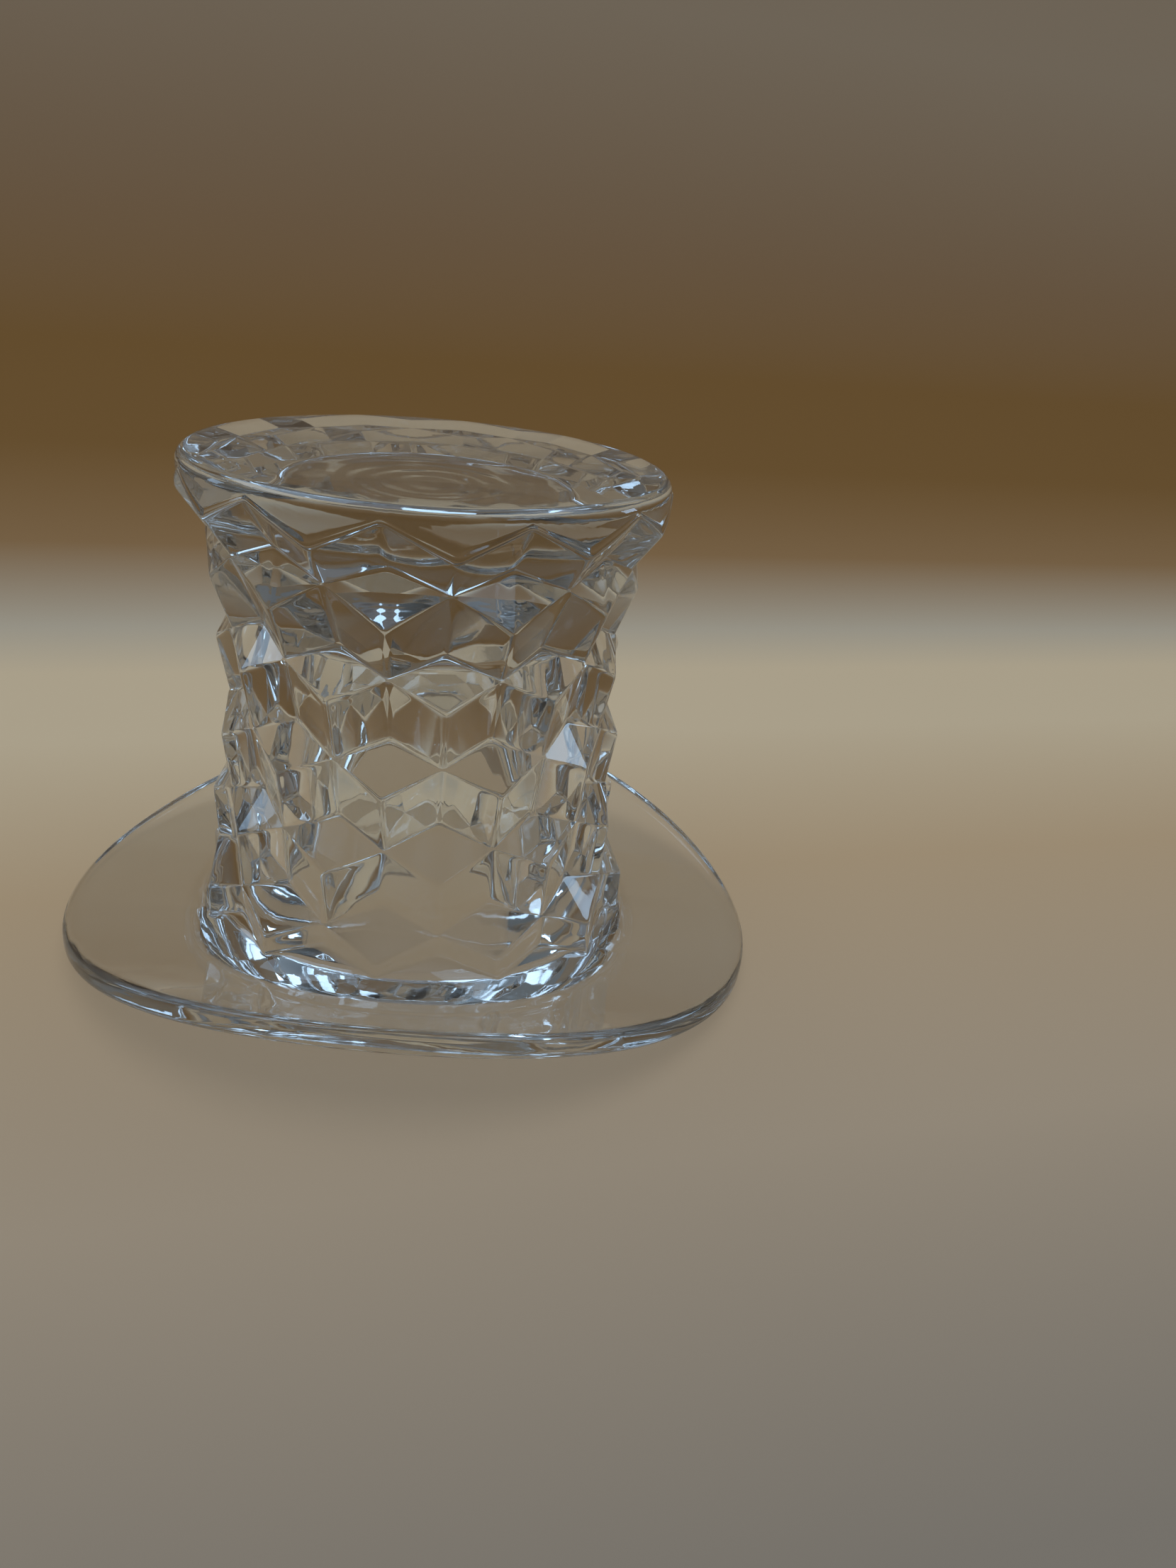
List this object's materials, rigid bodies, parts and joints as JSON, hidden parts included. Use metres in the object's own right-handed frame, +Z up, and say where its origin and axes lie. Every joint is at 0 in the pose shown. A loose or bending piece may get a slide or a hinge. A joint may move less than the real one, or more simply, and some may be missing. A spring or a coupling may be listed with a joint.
{
  "type": "glass top hat",
  "caption": "Clear pressed glass top hat standing on its oval, turned-up brim, with a hollow crown in cube relief: an ornament, or a small holder when turned over.",
  "frame": {"origin": "on the table, below the middle of the crown", "axes": "+X along the brim's long axis, +Y across its turned-up sides, +Z up through the crown top"},
  "size_m": [0.0796, 0.0744, 0.055],
  "materials": {
    "glass": "clear colourless pressed soda-lime glass, fire-polished"
  },
  "bodies": {
    "root": {"crown_top": "glass", "crown_wall": "glass", "collar": "glass", "brim": "glass"}
  },
  "joints": []
}
